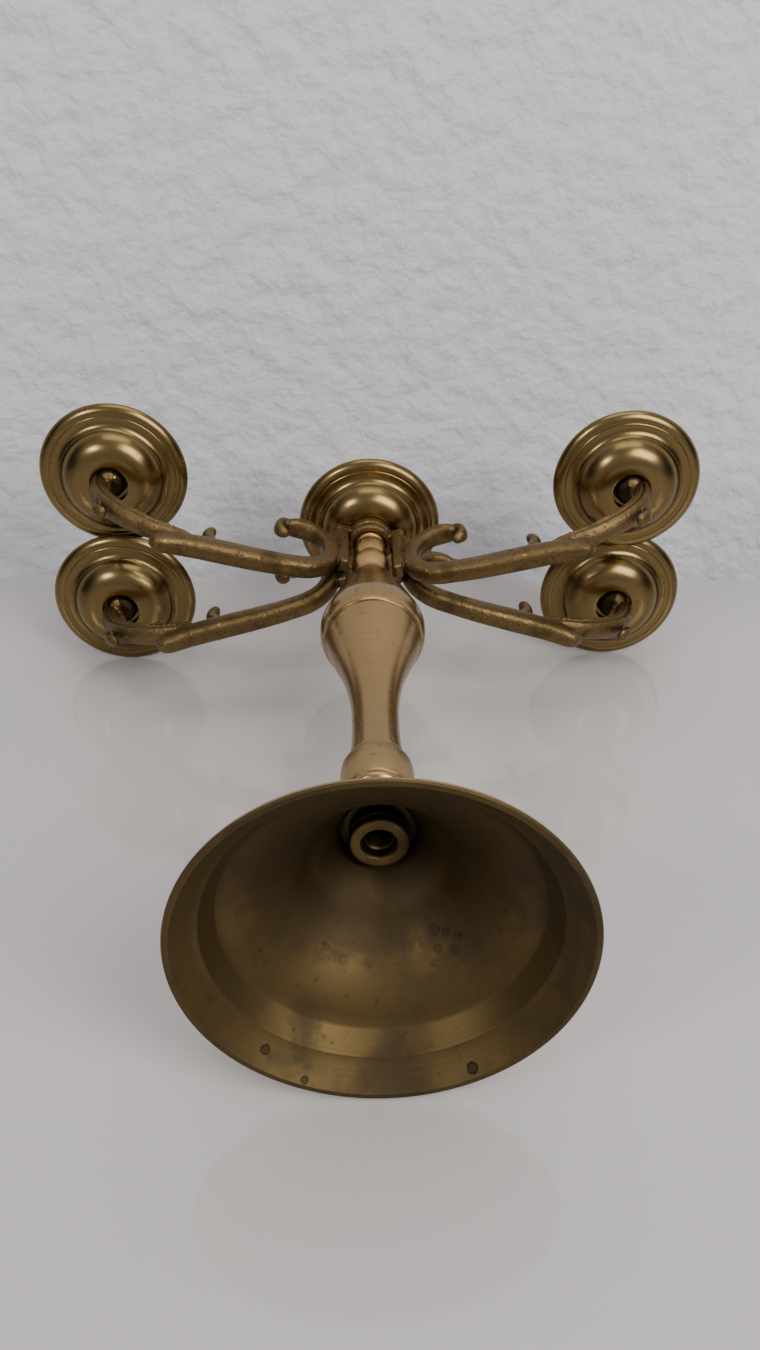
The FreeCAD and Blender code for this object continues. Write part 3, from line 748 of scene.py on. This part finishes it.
arm_parts += [
    arm_block("ear", 7.6, 15.0, 6.0, 0.1, 4.3),
    arm_block("strap", 9.9, 13.4, 5.6, -28.4, 3.4),
    sweep("ear_web", [
        (8.6, 1.8, 90, 1.6, 3.0),
        (12.5, 0.6, 84, 2.4, 3.0),
        (15.5, -4.0, 30, 3.0, 2.9),
        (16.2, -10.0, 5, 3.2, 2.7),
        (16.4, -16.0, 0, 2.6, 2.4),
    ], bar),
]
arm_parts.append(lathe("tip_seat", [
    (0.0, tip_seat - 4.8),
    (3.4, tip_seat - 4.8),
    (5.4, tip_seat - 3.5),
    (6.2, tip_seat - 2.2),
    (6.2, tip_seat),
    (0.0, tip_seat),
], sides=32, edge=0.0))
seat_shift = Matrix.Translation((pan_reach * MM, 0, 0))
arm_parts[-1].data.transform(seat_shift)

bpy.ops.object.select_all(action="DESELECT")
for part in arm_parts:
    part.select_set(True)
bpy.context.view_layer.objects.active = arm_parts[0]
bpy.ops.object.join()
half_arm = bpy.context.object
bpy.ops.object.modifier_add(type="REMESH")
skin = half_arm.modifiers[-1]
skin.mode = "VOXEL"
skin.voxel_size = 0.45 * MM
bpy.ops.object.modifier_apply(modifier=skin.name)
bpy.ops.object.modifier_add(type="SMOOTH")
file_work = half_arm.modifiers[-1]
file_work.factor = 0.5
file_work.iterations = 2
bpy.ops.object.modifier_apply(modifier=file_work.name)


def copy_of(piece, name):
    """A second piece like the first, with its own mesh."""
    bpy.ops.object.select_all(action="DESELECT")
    piece.select_set(True)
    bpy.context.view_layer.objects.active = piece
    bpy.ops.object.duplicate(linked=False)
    made = bpy.context.object
    made.name = made.data.name = name
    return made


def settle(piece, move=(0, 0, 0), turn=0.0):
    """Turn a piece about the vertical and move it, and put that in its mesh."""
    bpy.ops.object.select_all(action="DESELECT")
    piece.select_set(True)
    bpy.context.view_layer.objects.active = piece
    piece.rotation_euler.z = math.radians(turn)
    piece.location = Vector(move) * MM
    bpy.ops.object.transform_apply(location=True, rotation=True, scale=True)


far_arm = copy_of(half_arm, "far_arm")
settle(far_arm, turn=180)
arm_ring = lathe("arm_ring", [
    (7.0, 0.0),
    (9.1, 0.0),
    (9.6, 2.2, 9.1, 4.4),
    (post_radius + 0.05, 4.4),
    (post_radius + 0.05, 3.0),
    (7.0, 3.0),
], sides=96, edge=0.25)
bpy.ops.object.select_all(action="DESELECT")
for part in (far_arm, arm_ring, half_arm):
    part.select_set(True)
bpy.context.view_layer.objects.active = half_arm
bpy.ops.object.join()
lower_arms = bpy.context.object
lower_arms.name = lower_arms.data.name = "lower_arm_casting"
upper_arms = copy_of(lower_arms, "upper_arm_casting")
ring_step = upper_low.z - ring_low.z
settle(lower_arms, (0, 0, lower_ring), -half_cross)
settle(upper_arms, (0, 0, lower_ring + ring_step), half_cross)


def cast_brass(name, clean, dull, seed):
    """Sand-cast brass: pitted grain, file strokes, painted shade in the hollows and a painted
    highlight on faces that point up the stand.
    """
    material = bpy.data.materials.new(name)
    material.use_nodes = True
    tree = material.node_tree
    shader = tree.nodes["Principled BSDF"]
    place = node(tree, "ShaderNodeTexCoord").outputs["Object"]
    clouds = add_group(tree, tarnish, Place=place, Size=0.012, Cover=0.55, Seed=seed)
    wear_and_shade_masks = add_group(tree, wear, Place=place, Reach=0.004)
    pits = node(tree, "ShaderNodeTexNoise", _Vector=place, _Scale=800.0, _Detail=5.0)
    strokes = node(tree, "ShaderNodeTexNoise", _Vector=node(
        tree, "ShaderNodeMapping", _Vector=place, _Scale=(1.0, 1.0, 0.28)).outputs[0],
        _Scale=1500.0, _Detail=2.0)
    pit_mask = ramp(tree, pits.outputs[0], 0.56, 0.68)
    colour = mix(tree, clouds.outputs["Clouds"], clean, dull)
    colour = mix(tree, maths(tree, "MULTIPLY", pit_mask, 0.55), colour, (0.05, 0.030, 0.013))
    # Painted shade: ambient-occlusion hollows are blended to near black.
    colour = mix(tree, maths(tree, "MULTIPLY", wear_and_shade_masks.outputs["Hollow"], 0.9), colour,
                 (0.022, 0.014, 0.007))
    # Painted highlight: faces whose normal points up the stand's axis are blended towards light
    # gold.
    facing = node(tree, "ShaderNodeSeparateXYZ",
                  _Vector=node(tree, "ShaderNodeNewGeometry").outputs["Normal"]).outputs[2]
    painted_top_light = ramp(tree, facing, -0.2, 0.8, 0.0, 0.55)
    colour = mix(tree, painted_top_light, colour, RUBBED_GOLD_AND_TOP_LIGHT)
    colour = mix(tree, maths(tree, "MULTIPLY", wear_and_shade_masks.outputs["Rubbed"], 0.7), colour, RUBBED_GOLD_AND_TOP_LIGHT)
    tree.links.new(colour, shader.inputs["Base Color"])
    rough = ramp(tree, clouds.outputs["Clouds"], 0.0, 1.0, 0.40, 0.56)
    tree.links.new(maths(tree, "ADD", rough, maths(tree, "MULTIPLY", pit_mask, 0.15)),
                   shader.inputs["Roughness"])
    # The same painted shade also lowers the metallic value in the hollows.
    metal = ramp(tree, wear_and_shade_masks.outputs["Hollow"], 0.0, 1.0, 1.0, 0.6)
    tree.links.new(metal, shader.inputs["Metallic"])
    height = maths(tree, "ADD", maths(tree, "MULTIPLY", pits.outputs[0], 0.7),
                   maths(tree, "MULTIPLY", strokes.outputs[0], 0.5))
    bump = node(tree, "ShaderNodeBump", _Height=height, _Strength=0.8, _Distance=0.0005)
    tree.links.new(bump.outputs[0], shader.inputs["Normal"])
    return material


CAST = (0.165, 0.110, 0.047)
CAST_DULL = (0.080, 0.053, 0.023)
# Gold of the rubbed edges, also used for the painted highlight on upward faces.
RUBBED_GOLD_AND_TOP_LIGHT = (0.44, 0.295, 0.120)
lower_arms.data.materials.clear()
upper_arms.data.materials.clear()
lower_arms.data.materials.append(cast_brass("lower_cast_brass", CAST, CAST_DULL, 11.0))
upper_arms.data.materials.append(cast_brass("upper_cast_brass", CAST, CAST_DULL, 12.0))
# Painted shade: the arm tip's seat inside the pan collar, on the side towards the stem, gets a
# near-black material.
seat_painted_shade = cast_brass("seat_painted_shade", (0.030, 0.020, 0.010), STAIN_AND_SHADE_DARK, 13.0)
for casting, turn in ((lower_arms, -half_cross), (upper_arms, half_cross)):
    casting.data.materials.append(seat_painted_shade)
    ring_height = lower_ring if casting is lower_arms else lower_ring + ring_step
    along = Vector((math.cos(math.radians(turn)), math.sin(math.radians(turn)), 0))
    for face in casting.data.polygons:
        out = abs(face.center.dot(along)) / MM
        aside = abs(face.center.cross(along).z) / MM
        deep = face.center.z / MM > ring_height + tip_seat - 4.9
        if deep and out < pan_reach - 0.5 and math.hypot(out - pan_reach, aside) < 6.4:
            face.material_index = 1
    bpy.ops.object.select_all(action="DESELECT")
    casting.select_set(True)
    bpy.context.view_layer.objects.active = casting
    bpy.ops.object.shade_smooth_by_angle(angle=math.radians(50))
belongs(lower_arms, "lower_arms", "cast_brass", "lower_double_arm")
belongs(upper_arms, "upper_arms", "cast_brass", "upper_double_arm")

# ------------------------------------------------------------- drip pans
# Five spun pans with a rolled brim: polished under the bowl, where it shows
# from below, with painted shade darkening the groove inside the brim. A
# collar takes the arm's tip.

PLACES = {
    "centre": "stand",
    "front_right": "lower_arms",
    "back_left": "lower_arms",
    "back_right": "upper_arms",
    "front_left": "upper_arms",
}
pan_rim = pan_high.x - pan_middle.x - 0.1
pan_deep = 12.4
brim = 25.8
dome = 21.0
first_pan = lathe("pan_pattern", [
    (3.2, -8.4),
    (7.8, -8.4),
    (7.8, -pan_deep),
    (8.9, -pan_deep),
    (dome - 4.0, -10.3, dome - 0.4, -5.9),
    (dome + 0.6, -4.2, dome + 3.4, -3.1),
    (brim, -3.2),
    (brim + 0.3, -2.9),
    (brim + 0.6, -3.1),
    (pan_rim - 1.4, -2.3, pan_rim, -0.6),
    (pan_rim - 0.1, 0.1, pan_rim - 0.9, 0.2),
    (pan_rim - 1.6, -0.2),
    (brim + 0.6, -1.6),
    (brim - 1.0, -1.9),
    (dome + 0.5, -3.3),
    (dome - 5.0, -9.0, 9.7, -11.3),
    (9.2, -11.3),
    (9.2, -7.3),
    (3.2, -7.3),
], edge=0.15, sides=144)
PAN = (0.205, 0.140, 0.057)
PAN_DULL = (0.112, 0.075, 0.030)
for number, (light, body) in enumerate(PLACES.items()):
    low, high = millimetres(f"drip_pan_{light}")
    middle = (low + high) / 2
    pan = copy_of(first_pan, f"spun_pan_{light}")
    settle(pan, (middle.x, middle.y, high.z - 0.2))
    axis = (middle.x * MM, middle.y * MM, 0)
    pan.data.materials.append(turned_brass(
        f"pan_brass_{light}", PAN, PAN_DULL, (0.25, 0.38), rings=0.16, cover=0.42,
        seed=20.0 + number, axis=axis, reach=0.003))
    belongs(pan, body, "pan_brass", f"drip_pan_{light}")
bpy.data.objects.remove(first_pan)

# ----------------------------------------------------- candle cups, studs
# Five turned cups for dinner candles: foot ring, cove, bowl and a flared
# lip. Each stands in its pan and screws down on a steel stud; the centre
# one goes on the spindle's own stud.

cup_low, cup_high = millimetres("candle_cup_centre")
cup_tall = cup_high.z - cup_low.z
cup_foot = 8.6
cup_bore = 11.0
cup_side = 12.4
lip = 13.5
cup_floor = 9.5
first_cup = lathe("cup_pattern", [
    (stud_radius + 0.05, 0.0),
    (cup_foot, 0.0),
    (cup_foot, 1.4),
    (cup_foot - 2.0, 3.0, cup_foot - 1.4, cup_floor - 4.4),
    (cup_side - 1.1, cup_floor - 1.4, cup_side, cup_floor + 3.4),
    (cup_side - 0.1, cup_floor + 4.6),
    (cup_side - 0.35, cup_floor + 4.9),
    (cup_side - 0.1, cup_floor + 5.2),
    (cup_side - 0.1, cup_floor + 6.4),
    (cup_side - 0.35, cup_floor + 6.7),
    (cup_side - 0.1, cup_floor + 7.0),
    (cup_side - 0.35, cup_tall - 8.0, cup_side - 0.2, cup_tall - 4.6),
    (lip, cup_tall - 2.2),
    (lip + 0.2, cup_tall - 1.1, lip - 0.4, cup_tall),
    (cup_bore + 0.5, cup_tall),
    (cup_bore, cup_tall - 0.5),
    (cup_bore, cup_floor),
    (stud_radius + 0.05, cup_floor),
], sides=96, edge=0.15)
CUP = (0.46, 0.31, 0.135)
for number, (light, body) in enumerate(PLACES.items()):
    low, high = millimetres(f"candle_cup_{light}")
    middle = (low + high) / 2
    cup = copy_of(first_cup, f"turned_cup_{light}")
    settle(cup, (middle.x, middle.y, low.z))
    axis = (middle.x * MM, middle.y * MM, 0)
    cup.data.materials.append(turned_brass(
        f"cup_brass_{light}", CUP, SATIN_DULL, (0.22, 0.36), seed=30.0 + number, axis=axis))
    belongs(cup, body, "cup_brass", f"candle_cup_{light}")
bpy.data.objects.remove(first_cup)

for name in ("lower_shim", "upper_shim"):
    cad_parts[name].data.materials.clear()
    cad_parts[name].data.materials.append(bpy.data.materials["bead_brass"])
for light in list(PLACES)[1:]:
    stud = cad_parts[f"cup_stud_{light}"]
    stud.data.materials.clear()
    stud.data.materials.append(dull_steel)

# ------------------------------------------------------- table and daylight
# The candelabra lies on its side on a pale polished table in front of a
# plastered wall, in soft daylight from above.

table_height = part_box("drip_pan_back_right")[1].y
table_edge = 0.3145


def stage_sheet(name, corner, along, up, material):
    """A one-sided sheet of the room, which vanishes when seen from behind."""
    bpy.ops.object.select_all(action="DESELECT")
    bpy.ops.mesh.primitive_plane_add(size=2)
    sheet = bpy.context.object
    sheet.name = sheet.data.name = name
    for vertex, (u, v) in zip(sheet.data.vertices, ((0, 0), (1, 0), (0, 1), (1, 1))):
        vertex.co = Vector(corner) + Vector(along) * u + Vector(up) * v
    sheet.data.materials.append(material)
    return sheet


def room_finish(name, colour, rough, bumps, size):
    """A room surface that can only be seen from its front."""
    material = bpy.data.materials.new(name)
    material.use_nodes = True
    tree = material.node_tree
    shader = tree.nodes["Principled BSDF"]
    shader.inputs["Base Color"].default_value = (*colour, 1)
    shader.inputs["Roughness"].default_value = rough
    shader.inputs["IOR"].default_value = 1.6
    place = node(tree, "ShaderNodeTexCoord").outputs["Object"]
    grain = node(tree, "ShaderNodeTexNoise", _Vector=place, _Scale=size, _Detail=5.0)
    bump = node(tree, "ShaderNodeBump",
                _Height=grain.outputs[0], _Strength=bumps, _Distance=0.006)
    tree.links.new(bump.outputs[0], shader.inputs["Normal"])
    behind = node(tree, "ShaderNodeNewGeometry").outputs["Backfacing"]
    clear = node(tree, "ShaderNodeBsdfTransparent")
    choose = node(tree, "ShaderNodeMixShader",
                  _0=behind, _1=shader.outputs[0], _2=clear.outputs[0])
    tree.links.new(choose.outputs[0], tree.nodes["Material Output"].inputs[0])
    return material


table_top = stage_sheet(
    "table_top", (-1.6, table_height + 0.0002, -1.4), (3.2, 0, 0), (0, 0, 1.4 + table_edge),
    room_finish("table_white", (0.52, 0.497, 0.482), 0.07, 0.0008, 60.0))
wall = stage_sheet(
    "wall", (-1.6, table_height + 0.6, table_edge + 0.02), (3.2, 0, 0), (0, -2.6, 0),
    room_finish("wall_plaster", (0.70, 0.69, 0.725), 0.9, 0.8, 75.0))

world = bpy.data.worlds.new("soft_room")
bpy.context.scene.world = world
world.use_nodes = True
sky = world.node_tree
outward = node(sky, "ShaderNodeTexCoord").outputs["Generated"]
way = node(sky, "ShaderNodeSeparateXYZ", _Vector=outward)
sideways = ramp(sky, maths(sky, "ABSOLUTE", way.outputs[0]), 0.66, 0.93)
sky.links.new(mix(sky, sideways, (0.42, 0.43, 0.445), (0.035, 0.035, 0.037)),
              sky.nodes["Background"].inputs["Color"])


def window(name, place, aim, size, power, colour):
    """A soft area light aimed at a point."""
    light = bpy.data.lights.new(name, "AREA")
    light.shape = "RECTANGLE"
    light.size, light.size_y = size
    light.energy = power
    light.color = colour
    lamp = bpy.data.objects.new(name, light)
    bpy.context.scene.collection.objects.link(lamp)
    lamp.location = place
    lamp.rotation_euler = (Vector(aim) - Vector(place)).to_track_quat("-Z", "Y").to_euler()
    return lamp


window("daylight_right", (0.70, -0.90, -0.70), (0, 0, 0.10), (0.90, 0.60), 15.0, (1.0, 0.98, 0.95))
window("daylight_left", (-0.80, -0.80, -0.70), (0, 0, 0.10), (0.25, 0.25), 5.0, (1.0, 0.97, 0.94))
window("daylight_above", (0.10, -1.50, 0.20), (0, 0, 0.12), (1.2, 0.9), 8.0, (1.0, 0.98, 0.96))

camera_data = bpy.data.cameras.new("view")
camera = bpy.data.objects.new("view", camera_data)
bpy.context.scene.collection.objects.link(camera)
camera.location = (-0.00861, -0.23182, -0.22432)
camera.rotation_euler = tuple(math.radians(angle) for angle in (147.134, 1.206, -0.779))
camera_data.lens = 32.22
camera_data.sensor_width = 36.0
camera_data.clip_start = 0.01
bpy.context.scene.camera = camera
